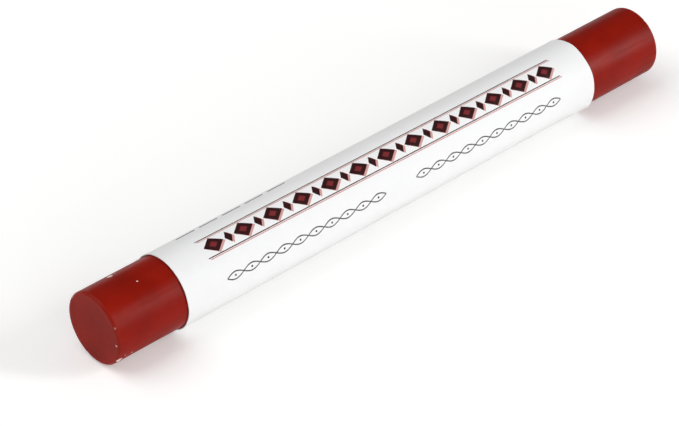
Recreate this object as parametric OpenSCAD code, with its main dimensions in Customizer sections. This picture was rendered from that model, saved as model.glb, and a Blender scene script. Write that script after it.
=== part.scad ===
// Furniture repair wax stick: a cast rod of pigmented wax in a paper sleeve.
// The stick lies along X on the plane Z = 0, with its front end towards -X and its back side towards +Y.
// The sleeve is one sheet of paper, rolled once round the rod and pasted down on itself along a lap.
// The paste holds paper to paper only, so the sleeve grips the rod and can be slid along it.

/* [Wax rod] */
// Length of the rod, from end face to end face
rod_length = 107; // [95:0.5:130]
// Diameter of the rod
rod_diameter = 11; // [8:0.1:16]
// Radius that rounds the edge of each end face
rod_edge_radius = 0.4; // [0.1:0.05:1]

/* [Paper sleeve] */
// Length of the sleeve along the rod
sleeve_length = 80.4; // [50:0.1:92]
// Bare wax between the front end face and the sleeve
front_bare = 12.1; // [3:0.1:25]
// Thickness of the paper
paper_thickness = 0.12; // [0.08:0.01:0.25]
// Gap all round between the rod and the sleeve
slide_clearance = 0.04; // [0.02:0.01:0.1]

/* [Lap] */
// Width of the lap, where the sheet lies on itself, measured round the sleeve
lap_width = 6; // [4:0.5:10]
// Middle of the lap, in degrees from the back of the stick up towards its top
lap_angle = -7.5; // [-90:0.5:90]
// Thickness of the dried paste between the two layers of the lap
paste_thickness = 0.04; // [0.02:0.01:0.08]
// Dry margin that the paste leaves along the edges of the lap
paste_margin = 0.5; // [0.2:0.1:1.2]

/* [Hidden] */

// Facets of a full turn
$fn = 180;

// Radii of the layers, from the wax outwards
rod_radius = rod_diameter / 2;
sleeve_bore_radius = rod_radius + slide_clearance;
sleeve_outer_radius = sleeve_bore_radius + paper_thickness;
lap_bore_radius = sleeve_outer_radius + paste_thickness;
lap_outer_radius = lap_bore_radius + paper_thickness;

// The sheet leaves the wall on a straight tangent and meets the lap over its own first edge
climb_sweep = acos(sleeve_bore_radius / lap_bore_radius);
climb_length = lap_bore_radius * sin(climb_sweep);
// Shares of the climb at which it has come out of the wall, and at which the wall ends inside it
climb_root_share = 0.1;
wall_end_share = 0.2;

// Angles round the sleeve, counted from the sheet's first edge
wall_sweep = 360 - climb_sweep * (1 - wall_end_share);
lap_sweep = arc_angle(lap_width, sleeve_outer_radius);
margin_sweep = arc_angle(paste_margin, sleeve_outer_radius);
first_edge_angle = lap_angle - lap_sweep / 2;

// Places along X, and the height of the rod's axis over the plane that the stick lies on
front_x = -rod_length / 2;
sleeve_x = front_x + front_bare;
axis_height = max(sleeve_outer_radius, lap_reach_down());

function arc_angle(width, radius) = width / radius * 180 / PI;
function polar(radius, angle) = radius * [cos(angle), sin(angle)];

// How far the lap's outer face reaches below the rod's axis
function lap_reach_down() =
    let (last_edge_angle = first_edge_angle + lap_sweep,
         lowest_angle = min(max(-90, first_edge_angle), last_edge_angle))
    -lap_outer_radius * sin(lowest_angle);

// Point in the climbing sheet, at a share of the climb and a height over its bore side
function climb_point(share, height) =
    polar(sleeve_bore_radius + height, -climb_sweep) + polar(share * climb_length, 90 - climb_sweep);

// Turns a shape that is built along Z, seen from the front, to lie along the rod's axis from x
module along_rod(x) {
    translate([x, 0, axis_height])
        rotate([90, 0, 90])
            children();
}

// Part of a tube wall, built along Z
module wall_arc(bore_radius, outer_radius, start_angle, sweep, length) {
    rotate([0, 0, start_angle])
        rotate_extrude(angle = sweep)
            translate([bore_radius, 0])
                square([outer_radius - bore_radius, length]);
}

// Profile of half the rod, with its two edges rounded
module rod_profile() {
    square([rod_radius - rod_edge_radius, rod_length]);
    translate([0, rod_edge_radius])
        square([rod_radius, rod_length - 2 * rod_edge_radius]);
    for (edge_z = [rod_edge_radius, rod_length - rod_edge_radius])
        translate([rod_radius - rod_edge_radius, edge_z])
            circle(rod_edge_radius);
}

// Short stretch of the sheet that climbs from the wall to the lap, rooted inside the wall
module climb() {
    linear_extrude(sleeve_length)
        polygon([
            climb_point(0, paper_thickness / 2),
            climb_point(climb_root_share, 0),
            [lap_bore_radius, 0],
            [lap_outer_radius, 0],
            climb_point(1, paper_thickness),
            climb_point(climb_root_share, paper_thickness)
        ]);
}

// Cast wax rod
module wax_rod() {
    color("#8c241b")
        along_rod(front_x)
            rotate_extrude()
                rod_profile();
}

// Paper sheet, rolled round the rod, with its last edge lapped over its first
module paper_sleeve() {
    color("white")
        along_rod(sleeve_x)
            rotate([0, 0, first_edge_angle]) {
                wall_arc(sleeve_bore_radius, sleeve_outer_radius, 0, wall_sweep, sleeve_length);
                climb();
                wall_arc(lap_bore_radius, lap_outer_radius, 0, lap_sweep, sleeve_length);
            }
}

// Film of dried paste that closes the lap
module lap_paste() {
    color("ivory")
        along_rod(sleeve_x + paste_margin)
            wall_arc(sleeve_outer_radius, lap_bore_radius, first_edge_angle + margin_sweep,
                     lap_sweep - 2 * margin_sweep, sleeve_length - 2 * paste_margin);
}

wax_rod();
paper_sleeve();
lap_paste();
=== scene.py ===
import math

import bmesh
import bpy
from mathutils import Matrix, Vector, noise


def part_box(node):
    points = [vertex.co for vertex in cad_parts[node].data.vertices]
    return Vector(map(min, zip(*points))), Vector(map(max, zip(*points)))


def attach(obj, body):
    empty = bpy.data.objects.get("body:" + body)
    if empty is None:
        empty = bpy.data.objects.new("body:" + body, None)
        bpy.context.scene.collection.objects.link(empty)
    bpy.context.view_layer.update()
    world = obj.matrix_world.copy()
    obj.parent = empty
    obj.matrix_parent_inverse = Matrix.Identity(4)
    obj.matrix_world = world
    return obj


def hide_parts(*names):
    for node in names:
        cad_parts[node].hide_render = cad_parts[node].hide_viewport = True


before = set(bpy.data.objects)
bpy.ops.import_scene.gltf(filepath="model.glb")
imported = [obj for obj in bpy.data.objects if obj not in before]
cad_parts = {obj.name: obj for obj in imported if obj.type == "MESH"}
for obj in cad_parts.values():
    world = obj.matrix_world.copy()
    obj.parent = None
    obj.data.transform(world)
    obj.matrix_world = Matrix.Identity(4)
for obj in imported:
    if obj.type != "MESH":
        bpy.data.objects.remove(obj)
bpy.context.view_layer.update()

# Wax rod: one solid stick of hard filler wax, coloured through with brick-red pigment.
# It is cast in a tube mould and pushed out, so the side is smooth, the end faces are flat with
# a slight sink, and the soft edges carry the chips and crumbs of being handled.

# The stick's sizes are in millimetres about the rod's axis, and its angles in degrees
MM = 0.001
rod_low, rod_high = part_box("wax_rod")
rod_front, rod_back = rod_low.x / MM, rod_high.x / MM
rod_radius = round((rod_high.y - rod_low.y) / 2 / MM, 2)
axis_height = (rod_high.z + rod_low.z) / 2 / MM
EDGE_RADIUS, EDGE_WEAR_WIDTH = 0.4, 0.5
FACE_SINK = 0.07
MOULD_RIPPLE, MOULD_RIPPLE_LENGTH = 0.010, 9.0
HAND_RIPPLE, HAND_RIPPLE_LENGTH = 0.004, 2.3
# The mesh is closest at the rims, close on the bare wax, and coarse under the paper
ROD_SEGMENTS, FACE_RINGS, EDGE_STEPS = 256, 16, 8
RIM_LENGTH, BARE_LENGTH = 2.5, 15.0
RIM_STEP, BARE_STEP, COVERED_STEP = 0.12, 0.18, 2.0
SHARP_ANGLE = 50
# A chip's nearness falls from 1 at its middle to 0 at this many radii away, and to this at its edge
CHIP_FIELD = 2.0
CHIP_EDGE = 1 - 1 / CHIP_FIELD
CHIP_STEEPNESS, CHIP_RAGGED, CHIP_RAGGED_SIZE = 1.6, 0.15, 0.25
# Chips and crumb marks: place along the rod, angle from the back over the top, distance from
# the axis, radius, depth, and how pale the broken wax is painted: partly the paler broken wax,
# partly a painted glint on the chipped facets
WAX_CHIPS = [
    (-48.3, 62, 5.50, 0.42, 0.05, 1.0),
    (-47.3, 60, 5.50, 0.18, 0.05, 0.5),
    (-46.65, 104, 5.50, 0.13, 0.02, 1.0),
    (-46.45, 109, 5.50, 0.14, 0.05, 0.0),
    (-46.25, 112, 5.50, 0.12, 0.05, 0.0),
    (-50.9, 208, 5.50, 0.15, 0.04, 0.8),
    (-52.1, 205, 5.49, 0.11, 0.03, 0.7),
    (-52.95, 212, 5.43, 0.42, 0.08, 1.0),
    (-53.1, 225, 5.40, 0.24, 0.06, 0.8),
    (-53.5, 181, 4.90, 0.19, 0.03, 0.9),
    (-53.35, 150, 5.38, 0.15, 0.06, 0.3),
    (-53.3, 288, 5.36, 0.30, 0.10, 0.4),
    (-53.35, 35, 5.38, 0.26, 0.10, 0.4),
    (-45.2, 342, 5.50, 0.22, 0.06, 0.6),
    (53.32, 118, 5.36, 0.24, 0.08, 0.2),
    (53.3, 300, 5.36, 0.45, 0.17, 0.6),
    (53.35, 12, 5.38, 0.30, 0.10, 0.4),
    (53.5, 200, 3.60, 0.22, 0.05, 0.3),
    (47.0, 330, 5.50, 0.20, 0.05, 0.6),
    (43.5, 20, 5.50, 0.16, 0.04, 0.8),
]


def spaced(start, end, step):
    """Places from start up to end, without end, about a step apart."""
    count = max(1, round(abs(end - start) / step))
    return [start + (end - start) * i / count for i in range(count)]


def on_rod(x, reach, angle):
    """Point about the rod's axis, at an angle from the back over the top."""
    turn = math.radians(angle)
    return Vector((x, reach * math.cos(turn), reach * math.sin(turn)))


def eased(share):
    """Smooth step of a share that runs from 0 to 1."""
    share = min(max(share, 0.0), 1.0)
    return share * share * (3 - 2 * share)


def make_piece(name, points, faces):
    """Smooth mesh piece from points about the rod's axis."""
    mesh = bpy.data.meshes.new(name)
    mesh.from_pydata([(p.x * MM, p.y * MM, (p.z + axis_height) * MM) for p in points], [], faces)
    shell = bmesh.new()
    shell.from_mesh(mesh)
    bmesh.ops.recalc_face_normals(shell, faces=shell.faces)
    shell.to_mesh(mesh)
    shell.free()
    mesh.shade_smooth()
    mesh.set_sharp_from_angle(angle=math.radians(SHARP_ANGLE))
    piece = bpy.data.objects.new(name, mesh)
    bpy.context.scene.collection.objects.link(piece)
    return piece


def store(piece, name, values):
    """Keeps a number for each point of a piece, for its material to read."""
    piece.data.attributes.new(name, "FLOAT", "POINT").data.foreach_set("value", values)


# Profile from the front face's middle to the back face's: place, reach, and the outward normal
face_reach = rod_radius - EDGE_RADIUS
face_reaches = spaced(0, face_reach, face_reach / FACE_RINGS)
edge_turns = [math.pi / 2 * i / EDGE_STEPS for i in range(EDGE_STEPS + 1)]
side_start, side_end = rod_front + EDGE_RADIUS, rod_back - EDGE_RADIUS
side_places = (
    spaced(side_start, side_start + RIM_LENGTH, RIM_STEP)
    + spaced(side_start + RIM_LENGTH, rod_front + BARE_LENGTH, BARE_STEP)
    + spaced(rod_front + BARE_LENGTH, rod_back - BARE_LENGTH, COVERED_STEP)
    + spaced(rod_back - BARE_LENGTH, side_end - RIM_LENGTH, BARE_STEP)
    + spaced(side_end - RIM_LENGTH, side_end, RIM_STEP)
)[1:]
front_half = [(rod_front, reach, -1.0, 0.0) for reach in face_reaches] + [
    (side_start - EDGE_RADIUS * math.cos(turn), face_reach + EDGE_RADIUS * math.sin(turn),
     -math.cos(turn), math.sin(turn)) for turn in edge_turns]
back_half = [(-x, reach, -along, out) for x, reach, along, out in reversed(front_half)]
rod_profile = front_half + [(x, rod_radius, 0.0, 1.0) for x in side_places] + back_half

chip_middles = [(on_rod(x, reach, angle), size, depth, pale)
                for x, angle, reach, size, depth, pale in WAX_CHIPS]
rod_points, chip_values, pale_and_glint_values, edge_values = [], [], [], []
ring_starts = []
for x, reach, along, out in rod_profile:
    ring_starts.append(len(rod_points))
    end_gap = min(x - rod_front, rod_back - x)
    rim_gap = math.hypot(max(end_gap - EDGE_RADIUS / 2, 0), max(face_reach - reach, 0))
    edge_wear = eased(1 - rim_gap / EDGE_WEAR_WIDTH)
    sink = FACE_SINK * (1 - (reach / face_reach) ** 2) if out == 0 else 0.0
    for i in range(ROD_SEGMENTS if reach > 0 else 1):
        angle = 360 * i / ROD_SEGMENTS
        point = on_rod(x, reach, angle)
        outward = on_rod(along, out, angle)
        dent = sink + MOULD_RIPPLE * (1 + noise.noise(point / MOULD_RIPPLE_LENGTH))
        dent += HAND_RIPPLE * (1 + noise.noise(point / HAND_RIPPLE_LENGTH))
        nearest_chip, nearest_pale_and_glint = 0.0, 0.0
        for middle, size, depth, pale in chip_middles:
            nearness = 1 - (point - middle).length / (CHIP_FIELD * size)
            if nearness > 0:
                ragged = CHIP_RAGGED * noise.noise(point / CHIP_RAGGED_SIZE)
                inside = (nearness + ragged - CHIP_EDGE) / (1 - CHIP_EDGE)
                dent += depth * eased(inside * CHIP_STEEPNESS)
            if nearness > nearest_chip:
                nearest_chip, nearest_pale_and_glint = nearness, pale
        rod_points.append(point - outward * dent)
        chip_values.append(nearest_chip)
        pale_and_glint_values.append(nearest_pale_and_glint)
        edge_values.append(edge_wear)

rod_faces = []
for ring, (start, after) in enumerate(zip(ring_starts, ring_starts[1:])):
    for i in range(ROD_SEGMENTS):
        j = (i + 1) % ROD_SEGMENTS
        if ring == 0:
            rod_faces.append((start, after + i, after + j))
        elif after == ring_starts[-1]:
            rod_faces.append((start + i, start + j, after))
        else:
            rod_faces.append((start + i, start + j, after + j, after + i))

rod = make_piece("cast_wax_rod", rod_points, rod_faces)
store(rod, "chip", chip_values)
store(rod, "chip_pale_and_glint", pale_and_glint_values)
store(rod, "edge_wear", edge_values)


def linear(hex_colour):
    """Linear colour for a shader, from an sRGB hex value."""
    channels = [int(hex_colour[i:i + 2], 16) / 255 for i in (1, 3, 5)]
    return [c / 12.92 if c <= 0.04045 else ((c + 0.055) / 1.055) ** 2.4 for c in channels] + [1.0]


def add_node(tree, kind, inputs=None, **settings):
    """Adds a node with its settings. An input is a value, an output, or a node's first output."""
    node = tree.nodes.new("ShaderNode" + kind)
    for name, value in settings.items():
        setattr(node, name, value)
    for socket, value in (inputs or {}).items():
        if isinstance(value, bpy.types.Node):
            value = value.outputs[0]
        if isinstance(value, bpy.types.NodeSocket):
            tree.links.new(value, node.inputs[socket])
        else:
            node.inputs[socket].default_value = value
    return node


def new_finish(name):
    """Empty material, and its node tree."""
    material = bpy.data.materials.new(name)
    material.use_nodes = True
    material.node_tree.nodes.clear()
    return material, material.node_tree


# Cast pigmented wax: the eye sees a deep red in soft clouds of pigment with a broad, quiet sheen,
# fine drag marks along the stick, and dry paler wax where it is chipped or rubbed. At the chips
# the colour is painted almost white: partly paler broken wax, partly painted glints on the facets.
WAX_RED, WAX_RED_DEEP, WAX_RUBBED, WAX_BROKEN_AND_GLINT = "#931707", "#801104", "#932418", "#f6e0da"
WAX_IOR, WAX_SPECULAR = 1.44, 0.13
WAX_SLEEK, WAX_DULL, BROKEN_DULLER = 0.31, 0.45, 0.3
SCATTER_SHARE, SCATTER_DEPTH, SCATTER_COLOURS = 0.1, 0.6, (1.0, 0.25, 0.15)
CLOUD_SIZE, CLOUD_LOW, CLOUD_HIGH = 5.0, 0.32, 0.68
# The real drag marks, grain and crumbs are finer, and are drawn as coarse as they need to show
DRAG_LENGTH, DRAG_WIDTH, DRAG_LOW, DRAG_HIGH = 9.0, 0.35, 0.3, 0.7
GRAIN_SIZE = 0.25
CRUMB_SIZE, CRUMB_SHARE, CRUMB_BLUR = 0.16, 0.6, 0.08
CLOUD_RELIEF, DRAG_RELIEF, GRAIN_RELIEF = 0.08, 0.006, 0.004
CLOUD_RELIEF_SHARE, FINE_RELIEF_SHARE = 0.6, 0.5
wax, tree = new_finish("pigmented_wax_cast")
place = add_node(tree, "TexCoord").outputs["Object"]
clouds = add_node(tree, "TexNoise", {
    "Vector": place, "Scale": 1 / (CLOUD_SIZE * MM), "Detail": 3.0, "Roughness": 0.55})
drag_place = add_node(tree, "Mapping", {
    "Vector": place,
    "Scale": (1 / (DRAG_LENGTH * MM), 1 / (DRAG_WIDTH * MM), 1 / (DRAG_WIDTH * MM))})
drags = add_node(tree, "TexNoise", {"Vector": drag_place, "Scale": 1.0, "Detail": 2.0})
grain = add_node(tree, "TexNoise", {
    "Vector": place, "Scale": 1 / (GRAIN_SIZE * MM), "Detail": 2.0})
chip_place = add_node(tree, "Attribute", attribute_name="chip").outputs["Fac"]
crumbs = add_node(tree, "TexNoise", {
    "Vector": place, "Scale": 1 / (CRUMB_SIZE * MM), "Detail": 3.0, "Roughness": 0.65})
crumbled = add_node(tree, "Math", {
    0: crumbs, 1: CRUMB_SHARE, 2: chip_place}, operation="MULTIPLY_ADD")
crumbled_edge = CHIP_EDGE + CRUMB_SHARE / 2
broken = add_node(tree, "MapRange", {
    "Value": crumbled,
    "From Min": crumbled_edge - CRUMB_BLUR, "From Max": crumbled_edge + CRUMB_BLUR},
    interpolation_type="SMOOTHSTEP")
chip_pale_and_glint = add_node(tree, "Attribute", attribute_name="chip_pale_and_glint").outputs["Fac"]
chip = add_node(tree, "Math", {0: broken, 1: chip_pale_and_glint}, operation="MULTIPLY")
worn = add_node(tree, "Attribute", attribute_name="edge_wear").outputs["Fac"]
cloudy = add_node(tree, "MapRange", {
    "Value": clouds, "From Min": CLOUD_LOW, "From Max": CLOUD_HIGH})
body_colour = add_node(tree, "Mix", {
    0: cloudy, 6: linear(WAX_RED_DEEP), 7: linear(WAX_RED)}, data_type="RGBA")
rubbed = add_node(tree, "Math", {0: worn, 1: drags}, operation="MULTIPLY")
rubbed_colour = add_node(tree, "Mix", {
    0: rubbed, 6: body_colour.outputs[2], 7: linear(WAX_RUBBED)}, data_type="RGBA")
# Painted glints: at the chips the wax is mixed towards almost white, partly for the paler broken
# wax and partly as painted highlights on the chipped facets
wax_colour = add_node(tree, "Mix", {
    0: chip, 6: rubbed_colour.outputs[2], 7: linear(WAX_BROKEN_AND_GLINT)}, data_type="RGBA")
sheen = add_node(tree, "MapRange", {
    "Value": drags, "From Min": DRAG_LOW, "From Max": DRAG_HIGH,
    "To Min": WAX_SLEEK, "To Max": WAX_DULL})
dry = add_node(tree, "Math", {0: chip, 1: BROKEN_DULLER, 2: sheen}, operation="MULTIPLY_ADD")
cloud_relief = add_node(tree, "Bump", {
    "Height": clouds, "Strength": CLOUD_RELIEF_SHARE, "Distance": CLOUD_RELIEF * MM})
drag_relief = add_node(tree, "Bump", {
    "Height": drags, "Strength": FINE_RELIEF_SHARE, "Distance": DRAG_RELIEF * MM,
    "Normal": cloud_relief})
grain_relief = add_node(tree, "Bump", {
    "Height": grain, "Strength": FINE_RELIEF_SHARE, "Distance": GRAIN_RELIEF * MM,
    "Normal": drag_relief})
surface = add_node(tree, "BsdfPrincipled", {
    "Base Color": wax_colour.outputs[2], "Roughness": dry, "Normal": grain_relief,
    "IOR": WAX_IOR, "Specular IOR Level": WAX_SPECULAR, "Subsurface Weight": SCATTER_SHARE,
    "Subsurface Radius": SCATTER_COLOURS, "Subsurface Scale": SCATTER_DEPTH * MM})
add_node(tree, "OutputMaterial", {"Surface": surface})
rod.data.materials.append(wax)
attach(rod, "stick")
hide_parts("wax_rod")

# Paper sleeve: one sheet of coated white printing paper, rolled once round the rod and lapped.
# Only the lap is pasted, so the sheet hugs the wax without being stuck to it, its cut ends
# stand off by a hair, and one corner of the far end has sprung a little way out.
sleeve_low, sleeve_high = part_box("paper_sleeve")
sleeve_front, sleeve_back = sleeve_low.x / MM, sleeve_high.x / MM
sleeve_middle = (sleeve_front + sleeve_back) / 2
wall_outer, lap_outer = round(-sleeve_low.y / MM, 2), round(sleeve_high.y / MM, 2)
PAPER_THICKNESS = 0.12
LAP_WIDTH, LAP_MIDDLE_ANGLE = 6.0, -7.5
wall_bore, lap_bore = wall_outer - PAPER_THICKNESS, lap_outer - PAPER_THICKNESS
lap_sweep = math.degrees(LAP_WIDTH / wall_outer)
climb_sweep = math.degrees(math.acos(wall_bore / lap_bore))
first_edge_angle = LAP_MIDDLE_ANGLE - lap_sweep / 2
sheet_sweep = 360 + lap_sweep
# Steps of the mesh along the stick, and then round it
END_LENGTH, END_STEP, ROLL_STEP = 4.0, 0.25, 1.3
WALL_STEP, CLIMB_STEP, LAP_STEP, LIP_STEP = 1.6, 1.3, 1.6, 0.8
# How the loose sheet stands off: low waves, flared ends, one sprung corner, and the lap's lip
SHEET_WAVE, SHEET_WAVE_LENGTH, SHEET_WAVE_TURN = 0.010, 13.0, 25.0
END_FLARE, END_FLARE_LENGTH = 0.055, 0.8
SPRUNG_CORNER, CORNER_ANGLE, CORNER_LENGTH, CORNER_TURN = 0.20, 222.0, 7.0, 40.0
LIP_LIFT, LIP_WIDTH, LIP_WAVE_LENGTH = 0.07, 1.0, 8.0
LIP_CORNER_LIFT, LIP_CORNER_LENGTH = 0.12, 2.5
# The sheet lies close where the stick rests on the table
TABLE_ANGLE, TABLE_TOUCH, TABLE_CLEAR = 270.0, 12.0, 40.0
# The cut ends wander, and draw the last part of each half with them: one part in this many
CUT_WANDER, CUT_WAVE_TURN, CUT_PARTS = 0.05, 30.0, 4
# Places in the noise, which keep the flare, the lip and the two cuts from being alike
FLARE_SEED, LIP_SEED, CUT_SEED = (3.0, 7.0), (1.5, 4.0), (5.0, 1.0)


def sheet_bore(turn):
    """Reach of the sheet's inner side, at a turn from its first edge."""
    if turn <= 360 - climb_sweep:
        return wall_bore
    if turn < 360:
        return wall_bore / math.cos(math.radians(turn - 360 + climb_sweep))
    return lap_bore


def sheet_lift(x, turn):
    """How far the loose sheet stands off its ideal roll, always outwards."""
    angle = first_edge_angle + turn
    end_gap = min(x - sleeve_front, sleeve_back - x)
    wave = 1 + noise.noise(Vector((x / SHEET_WAVE_LENGTH, turn / SHEET_WAVE_TURN, 0.0)))
    flare = 1 + noise.noise(Vector((turn / SHEET_WAVE_TURN, *FLARE_SEED)))
    flare *= math.exp(-end_gap / END_FLARE_LENGTH)
    corner_gap = math.hypot((sleeve_back - x) / CORNER_LENGTH, (angle - CORNER_ANGLE) / CORNER_TURN)
    loose = SHEET_WAVE * wave + END_FLARE * flare + SPRUNG_CORNER * eased(1 - corner_gap)
    free = eased((abs(angle - TABLE_ANGLE) - TABLE_TOUCH) / (TABLE_CLEAR - TABLE_TOUCH))
    free *= eased((turn - lap_sweep) / SHEET_WAVE_TURN)
    lip_gap = math.radians(sheet_sweep - turn) * lap_outer
    lip = max(1 - lip_gap / LIP_WIDTH, 0.0) ** 2
    lip_lift = LIP_LIFT * (1 + noise.noise(Vector((x / LIP_WAVE_LENGTH, *LIP_SEED))))
    lip_lift += LIP_CORNER_LIFT * math.exp(-end_gap / LIP_CORNER_LENGTH)
    return loose * free + lip_lift * lip


sheet_places = (
    spaced(sleeve_front, sleeve_front + END_LENGTH, END_STEP)
    + spaced(sleeve_front + END_LENGTH, sleeve_back - END_LENGTH, ROLL_STEP)
    + spaced(sleeve_back - END_LENGTH, sleeve_back, END_STEP) + [sleeve_back])
lip_sweep = math.degrees(2 * LIP_WIDTH / lap_outer)
sheet_turns = (
    spaced(0, 360 - climb_sweep, WALL_STEP) + spaced(360 - climb_sweep, 360, CLIMB_STEP)
    + spaced(360, sheet_sweep - lip_sweep, LAP_STEP)
    + spaced(sheet_sweep - lip_sweep, sheet_sweep, LIP_STEP) + [sheet_sweep])

# Points of the outer side, then of the inner side
sheet_points, sheet_layout = [], []
for side_reach in (PAPER_THICKNESS, 0.0):
    for x in sheet_places:
        half_share = abs(x - sleeve_middle) / (sleeve_back - sleeve_middle)
        end_share = eased(half_share * CUT_PARTS - (CUT_PARTS - 1))
        cut_place = (math.copysign(CUT_SEED[0], x), CUT_SEED[1])
        for turn in sheet_turns:
            angle = first_edge_angle + turn
            cut_wave = noise.noise(Vector((turn / CUT_WAVE_TURN, *cut_place)))
            wander = CUT_WANDER * cut_wave * end_share
            reach = sheet_bore(turn) + sheet_lift(x, turn) + side_reach
            sheet_points.append(on_rod(x + wander, reach, angle))
            sheet_layout.append((x - sleeve_middle, math.radians(angle - 90) * wall_outer))

rows, columns = len(sheet_places), len(sheet_turns)
inner_start = rows * columns
outer_faces, inner_faces = [], []
for row in range(rows - 1):
    for column in range(columns - 1):
        corner = row * columns + column
        quad = (corner, corner + 1, corner + columns + 1, corner + columns)
        outer_faces.append(quad)
        inner_faces.append(tuple(inner_start + k for k in reversed(quad)))
border = (
    [(k, k + 1) for k in range(columns - 1)]
    + [(k + 1, k) for k in range((rows - 1) * columns, rows * columns - 1)]
    + [((row + 1) * columns, row * columns) for row in range(rows - 1)]
    + [((row + 1) * columns - 1, (row + 2) * columns - 1) for row in range(rows - 1)])
cut_faces = [(b, a, inner_start + a, inner_start + b) for a, b in border]
sleeve = make_piece("rolled_paper_sleeve", sheet_points, outer_faces + inner_faces + cut_faces)

# Flat layout of the sheet in mm, along the stick and across from its top line to the front.
# The unprinted side and the cut edges are laid out far from the print.
UNPRINTED = 100.0
layout = sleeve.data.uv_layers.new(name="sheet_layout")
for face in sleeve.data.polygons:
    printed = face.index < len(outer_faces)
    for loop in face.loop_indices:
        along, across = sheet_layout[sleeve.data.loops[loop].vertex_index]
        layout.data[loop].uv = (along, across if printed else across + UNPRINTED)

# Coated printing paper, offset printed: a clean satin white with the faintest mottle, and ink
# that sits flat on it with crisp, very slightly feathered edges.
PAPER_WHITE, PAPER_SHADE, PAPER_SOAKED = "#f8f8f8", "#f3f3f4", "#f0eee7"
INK_MAROON, INK_MAROON_LIGHT, INK_ROSE, INK_GREY = "#330c0f", "#7c2a2c", "#d79f9b", "#4b4446"
PAPER_IOR, PAPER_SPECULAR, PAPER_SATIN, INK_SATIN = 1.5, 0.35, 0.52, 0.40
paper, tree = new_finish("coated_paper_offset_printed")

# One repeat of the inlay band: a lozenge with a lighter heart, then a slim one, between rules
INLAY_PITCH, INLAY_REPEATS = 5.4, 13
LOZENGE_LENGTH, LOZENGE_HEIGHT, HEART_SHARE = 3.5, 2.6, 0.42
SLIM_LENGTH, SLIM_HEIGHT = 1.3, 2.0
RULE_OFFSET, RULE_WIDTH = 1.62, 0.16
band_reach = (INLAY_PITCH * INLAY_REPEATS - SLIM_LENGTH) / 2
band = bpy.data.node_groups.new("inlay_band", "ShaderNodeTree")
for name in ("Along", "Across"):
    band.interface.new_socket(name, in_out="INPUT", socket_type="NodeSocketFloat")
for name in ("Figure", "Heart"):
    band.interface.new_socket(name, in_out="OUTPUT", socket_type="NodeSocketFloat")
band_place = band.nodes.new("NodeGroupInput")
step = add_node(band, "Math", {
    0: band_place.outputs["Along"], 1: INLAY_PITCH / 2}, operation="PINGPONG")
height = add_node(band, "Math", {0: band_place.outputs["Across"]}, operation="ABSOLUTE")
long_share = add_node(band, "Math", {0: step, 1: LOZENGE_LENGTH / 2}, operation="DIVIDE")
high_share = add_node(band, "Math", {0: height, 1: LOZENGE_HEIGHT / 2}, operation="DIVIDE")
lozenge_share = add_node(band, "Math", {0: long_share, 1: high_share}, operation="ADD")
lozenge = add_node(band, "Math", {0: lozenge_share, 1: 1.0}, operation="LESS_THAN")
heart = add_node(band, "Math", {0: lozenge_share, 1: HEART_SHARE}, operation="LESS_THAN")
slim_gap = add_node(band, "Math", {0: INLAY_PITCH / 2, 1: step}, operation="SUBTRACT")
slim_long = add_node(band, "Math", {0: slim_gap, 1: SLIM_LENGTH / 2}, operation="DIVIDE")
slim_share = add_node(band, "Math", {
    0: height, 1: 2 / SLIM_HEIGHT, 2: slim_long}, operation="MULTIPLY_ADD")
slim = add_node(band, "Math", {0: slim_share, 1: 1.0}, operation="LESS_THAN")
rule = add_node(band, "Math", {0: height, 1: RULE_OFFSET, 2: RULE_WIDTH / 2}, operation="COMPARE")
inlay = add_node(band, "Math", {0: lozenge, 1: slim}, operation="MAXIMUM")
ruled = add_node(band, "Math", {0: inlay, 1: rule}, operation="MAXIMUM")
from_middle = add_node(band, "Math", {0: band_place.outputs["Along"]}, operation="ABSOLUTE")
within = add_node(band, "Math", {0: from_middle, 1: band_reach}, operation="LESS_THAN")
figure = add_node(band, "Math", {0: ruled, 1: within}, operation="MULTIPLY")
band_result = band.nodes.new("NodeGroupOutput")
band.links.new(figure.outputs[0], band_result.inputs["Figure"])
band.links.new(heart.outputs[0], band_result.inputs["Heart"])

# Where the ink falls on the sheet. Its edges feather less than this on real paper, and the
# feathering is drawn as coarse as it needs to show.
BAND_ACROSS, BAND_TILT, SHADOW_SHIFT = 2.25, 0.009, 0.24
INK_FEATHER, INK_FEATHER_SIZE, NOISE_MIDDLE = 0.05, 0.22, 0.5
sheet_place = add_node(tree, "UVMap", uv_map="sheet_layout")
feather_noise = add_node(tree, "TexNoise", {
    "Vector": sheet_place, "Scale": 1 / INK_FEATHER_SIZE, "Detail": 1.0}).outputs["Color"]
feather = add_node(tree, "VectorMath", {
    0: feather_noise, 1: (NOISE_MIDDLE,) * 3}, operation="SUBTRACT")
ink_place = add_node(tree, "VectorMath", {
    0: feather, 1: (INK_FEATHER,) * 3, 2: sheet_place}, operation="MULTIPLY_ADD")
ink_axes = add_node(tree, "SeparateXYZ", {0: ink_place})
along, across = ink_axes.outputs["X"], ink_axes.outputs["Y"]
band_line = add_node(tree, "Math", {
    0: along, 1: BAND_TILT, 2: BAND_ACROSS}, operation="MULTIPLY_ADD")
band_across = add_node(tree, "Math", {0: across, 1: band_line}, operation="SUBTRACT")
shadow_along = add_node(tree, "Math", {0: along, 1: SHADOW_SHIFT}, operation="SUBTRACT")
shadow_across = add_node(tree, "Math", {0: band_across, 1: SHADOW_SHIFT}, operation="SUBTRACT")
band_ink = add_node(tree, "Group", node_tree=band)
band_shadow = add_node(tree, "Group", node_tree=band)
for group, group_along, group_across in (
        (band_ink, along, band_across.outputs[0]),
        (band_shadow, shadow_along.outputs[0], shadow_across.outputs[0])):
    tree.links.new(group_along, group.inputs["Along"])
    tree.links.new(group_across, group.inputs["Across"])

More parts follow.
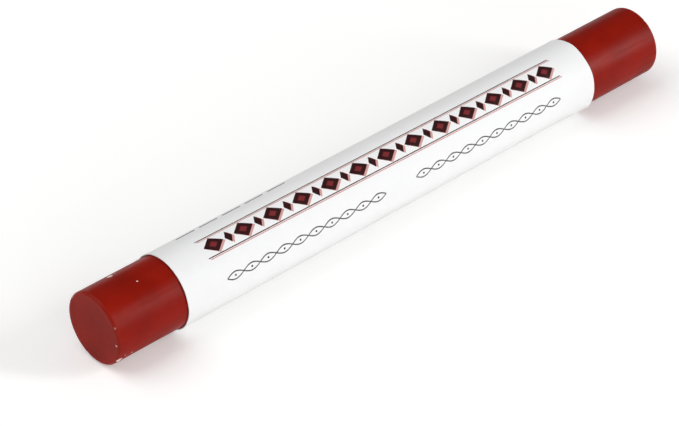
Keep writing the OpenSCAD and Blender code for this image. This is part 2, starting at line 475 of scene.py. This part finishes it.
# Rope pattern in two equal runs: two fine waves that cross, with a dot in each eye
ROPE_PITCH, ROPE_ACROSS, ROPE_HEIGHT, ROPE_LINE, EYE_RADIUS = 3.0, 7.35, 1.1, 0.2, 0.17
RUN_MIDDLE, RUN_LENGTH = 18.0, 30.0
rope_across = add_node(tree, "Math", {0: across, 1: ROPE_ACROSS}, operation="SUBTRACT")
rope_turn = add_node(tree, "Math", {0: along, 1: math.pi / ROPE_PITCH}, operation="MULTIPLY")
rope_sine = add_node(tree, "Math", {0: rope_turn}, operation="SINE")
rope_swing = add_node(tree, "Math", {0: rope_sine, 1: ROPE_HEIGHT / 2}, operation="MULTIPLY")
rope_width = add_node(tree, "Math", {0: rope_swing}, operation="ABSOLUTE")
rope_reach = add_node(tree, "Math", {0: rope_across}, operation="ABSOLUTE")
strand = add_node(tree, "Math", {
    0: rope_reach, 1: rope_width, 2: ROPE_LINE / 2}, operation="COMPARE")
eye_shift = add_node(tree, "Math", {0: along, 1: ROPE_PITCH / 2}, operation="ADD")
eye_step = add_node(tree, "Math", {0: eye_shift, 1: ROPE_PITCH / 2}, operation="PINGPONG")
eye_point = add_node(tree, "CombineXYZ", {"X": eye_step, "Y": rope_across})
eye_reach = add_node(tree, "VectorMath", {0: eye_point}, operation="LENGTH").outputs["Value"]
eye = add_node(tree, "Math", {0: eye_reach, 1: EYE_RADIUS}, operation="LESS_THAN")
rope = add_node(tree, "Math", {0: strand, 1: eye}, operation="MAXIMUM")
run_along = add_node(tree, "Math", {0: along}, operation="ABSOLUTE")
run = add_node(tree, "Math", {0: run_along, 1: RUN_MIDDLE, 2: RUN_LENGTH / 2}, operation="COMPARE")
run_ink = add_node(tree, "Math", {0: rope, 1: run}, operation="MULTIPLY")

# Fine dashed line behind the top, on the near half
DASH_ACROSS, DASH_WIDTH, DASH_PITCH, DASH_LENGTH = -2.8, 0.4, 4.2, 3.3
DASH_MIDDLE, DASH_RUN = -25.0, 21.0
dash_step = add_node(tree, "Math", {0: along, 1: DASH_PITCH / 2}, operation="PINGPONG")
dash_long = add_node(tree, "Math", {0: dash_step, 1: DASH_LENGTH / 2}, operation="LESS_THAN")
dash_high = add_node(tree, "Math", {
    0: across, 1: DASH_ACROSS, 2: DASH_WIDTH / 2}, operation="COMPARE")
dash_run = add_node(tree, "Math", {0: along, 1: DASH_MIDDLE, 2: DASH_RUN / 2}, operation="COMPARE")
dash = add_node(tree, "Math", {0: dash_long, 1: dash_high}, operation="MULTIPLY")
dash_ink = add_node(tree, "Math", {0: dash, 1: dash_run}, operation="MULTIPLY")
fine_ink = add_node(tree, "Math", {0: run_ink, 1: dash_ink}, operation="MAXIMUM")

# Paper, with paste soaked into the lap, then rose shadow, maroon band, and the fine grey work.
# The coating's real grain is far finer, and is drawn as coarse as it needs to show.
MOTTLE_SIZE, COAT_GRAIN_SIZE = 2.5, 0.35
COAT_RELIEF, COAT_RELIEF_SHARE = 0.004, 0.4
SOAK_WANDER, SOAK_FADE = 1.2, 0.7
mottle = add_node(tree, "TexNoise", {
    "Vector": sheet_place, "Scale": 1 / MOTTLE_SIZE, "Detail": 4.0, "Roughness": 0.6})
coat_grain = add_node(tree, "TexNoise", {
    "Vector": sheet_place, "Scale": 1 / COAT_GRAIN_SIZE, "Detail": 2.0})
bare_colour = add_node(tree, "Mix", {
    0: mottle, 6: linear(PAPER_SHADE), 7: linear(PAPER_WHITE)}, data_type="RGBA")
# The lap that shows is a full turn on from the sheet's first edge
lap_middle_across = math.radians(LAP_MIDDLE_ANGLE + 360 - 90) * wall_outer
sheet_across = add_node(tree, "SeparateXYZ", {0: sheet_place}).outputs["Y"]
soak_reach = add_node(tree, "Math", {0: sheet_across, 1: lap_middle_across}, operation="SUBTRACT")
soak_gap = add_node(tree, "Math", {0: soak_reach}, operation="ABSOLUTE")
soak_wander = add_node(tree, "Math", {
    0: mottle, 1: SOAK_WANDER, 2: soak_gap}, operation="MULTIPLY_ADD")
soaked = add_node(tree, "MapRange", {
    "Value": soak_wander, "From Min": LAP_WIDTH / 2, "From Max": LAP_WIDTH / 2 - SOAK_FADE},
    interpolation_type="SMOOTHSTEP")
sheet_colour = add_node(tree, "Mix", {
    0: soaked, 6: bare_colour.outputs[2], 7: linear(PAPER_SOAKED)}, data_type="RGBA")
shadow_colour = add_node(tree, "Mix", {
    0: band_shadow.outputs["Figure"],
    6: sheet_colour.outputs[2], 7: linear(INK_ROSE)}, data_type="RGBA")
maroon = add_node(tree, "Mix", {
    0: band_ink.outputs["Heart"],
    6: linear(INK_MAROON), 7: linear(INK_MAROON_LIGHT)}, data_type="RGBA")
band_colour = add_node(tree, "Mix", {
    0: band_ink.outputs["Figure"],
    6: shadow_colour.outputs[2], 7: maroon.outputs[2]}, data_type="RGBA")
print_colour = add_node(tree, "Mix", {
    0: fine_ink, 6: band_colour.outputs[2], 7: linear(INK_GREY)}, data_type="RGBA")
all_ink = add_node(tree, "Math", {0: band_ink.outputs["Figure"], 1: fine_ink}, operation="MAXIMUM")
satin = add_node(tree, "MapRange", {"Value": all_ink, "To Min": PAPER_SATIN, "To Max": INK_SATIN})
coat_relief = add_node(tree, "Bump", {
    "Height": coat_grain, "Strength": COAT_RELIEF_SHARE, "Distance": COAT_RELIEF * MM})
surface = add_node(tree, "BsdfPrincipled", {
    "Base Color": print_colour.outputs[2], "Roughness": satin, "Normal": coat_relief,
    "IOR": PAPER_IOR, "Specular IOR Level": PAPER_SPECULAR})
add_node(tree, "OutputMaterial", {"Surface": surface})
sleeve.data.materials.append(paper)
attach(sleeve, "sleeve")
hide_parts("paper_sleeve")

# Lap paste: a thin film of starch paste, brushed between the two layers of the lap.
# It has dried between them and holds the roll closed, and only its edge line can be seen.

# Dried starch paste, brushed on: a dull cream film with brush streaks and tiny bubbles.
PASTE_CREAM, PASTE_THIN = "#e6dcc3", "#f0e9d8"
PASTE_IOR, PASTE_SATIN, PASTE_DULL = 1.5, 0.6, 0.8
STREAK_LENGTH, STREAK_WIDTH = 12.0, 0.6
BUBBLE_SIZE, BUBBLE_RELIEF, BUBBLE_RELIEF_SHARE = 0.3, 0.01, 0.4
paste, tree = new_finish("starch_paste_brushed_dry")
place = add_node(tree, "TexCoord").outputs["Object"]
streak_place = add_node(tree, "Mapping", {
    "Vector": place,
    "Scale": (1 / (STREAK_LENGTH * MM), 1 / (STREAK_WIDTH * MM), 1 / (STREAK_WIDTH * MM))})
streaks = add_node(tree, "TexNoise", {"Vector": streak_place, "Scale": 1.0, "Detail": 2.0})
bubbles = add_node(tree, "TexVoronoi", {"Vector": place, "Scale": 1 / (BUBBLE_SIZE * MM)})
paste_colour = add_node(tree, "Mix", {
    0: streaks, 6: linear(PASTE_CREAM), 7: linear(PASTE_THIN)}, data_type="RGBA")
paste_relief = add_node(tree, "Bump", {
    "Height": bubbles.outputs["Distance"], "Strength": BUBBLE_RELIEF_SHARE,
    "Distance": BUBBLE_RELIEF * MM})
dull = add_node(tree, "MapRange", {"Value": streaks, "To Min": PASTE_SATIN, "To Max": PASTE_DULL})
surface = add_node(tree, "BsdfPrincipled", {
    "Base Color": paste_colour.outputs[2], "Roughness": dull, "Normal": paste_relief,
    "IOR": PASTE_IOR})
add_node(tree, "OutputMaterial", {"Surface": surface})
paste_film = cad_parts["lap_paste"]
paste_film.data.materials.clear()
paste_film.data.materials.append(paste)

# Table: a plain white sweep that the stick lies on, which is no part of the stick.
# Matt white board, which the camera sees as white paper with the stick's soft shadow on it.

# Sizes in the studio are in metres
FLOOR_SIZE, FLOOR_GAP = 6.0, 0.02 * MM
FLOOR_WHITE, PURE_WHITE = "#f7f7f6", "#ffffff"
# White that is seen besides the light on the board: near the stick and far from it, the two
# distances between which it rises, and the share of it that gloss mirrors
FLOOR_GLOW, HORIZON_GLOW = 0.235, 0.78
GLOW_START, GLOW_END, MIRRORED_SHARE = 0.3, 1.6, 0.13
floor_mesh = bpy.data.meshes.new("white_table")
floor_half = FLOOR_SIZE / 2
floor_mesh.from_pydata(
    [(x, y, -FLOOR_GAP) for x, y in (
        (-floor_half, -floor_half), (floor_half, -floor_half),
        (floor_half, floor_half), (-floor_half, floor_half))], [], [(0, 1, 2, 3)])
floor = bpy.data.objects.new("white_table", floor_mesh)
bpy.context.scene.collection.objects.link(floor)
board, tree = new_finish("matt_white_board")
rays = add_node(tree, "LightPath")
seen = add_node(tree, "Math", {
    0: rays.outputs["Is Camera Ray"], 1: rays.outputs["Is Transmission Ray"]}, operation="MAXIMUM")
shown = add_node(tree, "Math", {
    0: rays.outputs["Is Glossy Ray"], 1: MIRRORED_SHARE, 2: seen}, operation="MULTIPLY_ADD")
from_stick = add_node(tree, "VectorMath", {
    0: add_node(tree, "TexCoord").outputs["Object"]}, operation="LENGTH").outputs["Value"]
glow_level = add_node(tree, "MapRange", {
    "Value": from_stick, "From Min": GLOW_START, "From Max": GLOW_END,
    "To Min": FLOOR_GLOW, "To Max": HORIZON_GLOW}, interpolation_type="SMOOTHSTEP")
glow_strength = add_node(tree, "Math", {0: shown, 1: glow_level}, operation="MULTIPLY")
lit = add_node(tree, "BsdfDiffuse", {"Color": linear(FLOOR_WHITE)})
glow = add_node(tree, "Emission", {"Color": linear(PURE_WHITE), "Strength": glow_strength})
surface = add_node(tree, "AddShader", {0: lit, 1: glow})
add_node(tree, "OutputMaterial", {"Surface": surface})
floor_mesh.materials.append(board)

# Studio light: a low, wide fill at the left front, an upright key panel at the right front, and a
# soft box high up behind. The room beyond sheds little light and is white to look at.
STICK_MIDDLE = Vector((0.0, 0.0, axis_height * MM))
LAMPS = [
    # name, direction from the stick, distance, width, height, level on a facing surface
    ("front_fill", (-0.45, -0.86, 0.20), 0.9, 0.7, 0.3, 0.225),
    ("key_strip", (0.60, -0.70, 0.41), 0.9, 0.16, 0.52, 0.49),
    ("back_box", (-0.40, 0.40, 0.82), 0.9, 0.9, 0.9, 0.53),
]
for name, direction, distance, width, height, level in LAMPS:
    lamp = bpy.data.lights.new(name, "AREA")
    lamp.shape = "RECTANGLE"
    lamp.size, lamp.size_y = width, height
    lamp.energy = level * (math.pi * distance) ** 2
    stand = bpy.data.objects.new(name, lamp)
    towards = Vector(direction).normalized()
    upright = towards.cross(Vector((1, 0, 0))).normalized()
    facing = Matrix((upright.cross(towards), upright, towards)).transposed()
    stand.location = STICK_MIDDLE + towards * distance
    stand.rotation_euler = facing.to_euler()
    stand.visible_camera = False
    bpy.context.scene.collection.objects.link(stand)

# Gloss mirrors a white sweep that fades upwards to a dim ceiling, between these heights of view
ROOM_LIGHT, SWEEP_LIGHT, CEILING_LIGHT, SEEN_LIGHT = 0.30, 1.0, 0.08, 1.0
SWEEP_START, SWEEP_END = 0.0, 0.15
room = bpy.data.worlds.new("studio_room")
room.use_nodes = True
room.node_tree.nodes.clear()
tree = room.node_tree
rays = add_node(tree, "LightPath")
seen = add_node(tree, "Math", {
    0: rays.outputs["Is Camera Ray"], 1: rays.outputs["Is Transmission Ray"]}, operation="MAXIMUM")
view = add_node(tree, "TexCoord").outputs["Generated"]
view_height = add_node(tree, "SeparateXYZ", {0: view}).outputs["Z"]
sweep = add_node(tree, "MapRange", {
    "Value": view_height, "From Min": SWEEP_START, "From Max": SWEEP_END,
    "To Min": SWEEP_LIGHT, "To Max": CEILING_LIGHT})
mirrored_room = add_node(tree, "Mix", {
    0: rays.outputs["Is Glossy Ray"], 2: ROOM_LIGHT, 3: sweep}, data_type="FLOAT")
room_strength = add_node(tree, "Mix", {
    0: seen, 2: mirrored_room, 3: SEEN_LIGHT}, data_type="FLOAT")
walls = add_node(tree, "Background", {"Color": linear(PURE_WHITE), "Strength": room_strength})
add_node(tree, "OutputWorld", {"Surface": walls})
bpy.context.scene.world = room
bpy.context.scene.view_settings.view_transform = "Standard"

# Camera: a long lens at the photograph's viewing angle, less than half a metre from the stick.
# It looks down on the front end, which is the near one.
CAMERA_AIM, CAMERA_DISTANCE = Vector((-8.31, -0.08, 2.86)) * MM, 0.416
CAMERA_AZIMUTH, CAMERA_ELEVATION = math.radians(-42.79), math.radians(35.84)
CAMERA_LENS, CAMERA_SENSOR = 153.07, 36.0
CAMERA_NEAREST, CAMERA_FARTHEST = 0.01, 50.0
camera = bpy.data.objects.new("camera", bpy.data.cameras.new("camera"))
camera.data.lens, camera.data.sensor_width = CAMERA_LENS, CAMERA_SENSOR
camera.data.clip_start, camera.data.clip_end = CAMERA_NEAREST, CAMERA_FARTHEST
camera.location = CAMERA_AIM + CAMERA_DISTANCE * Vector((
    math.sin(CAMERA_AZIMUTH) * math.cos(CAMERA_ELEVATION),
    -math.cos(CAMERA_AZIMUTH) * math.cos(CAMERA_ELEVATION),
    math.sin(CAMERA_ELEVATION)))
camera.rotation_euler = (math.pi / 2 - CAMERA_ELEVATION, 0.0, CAMERA_AZIMUTH)
bpy.context.scene.collection.objects.link(camera)
bpy.context.scene.camera = camera
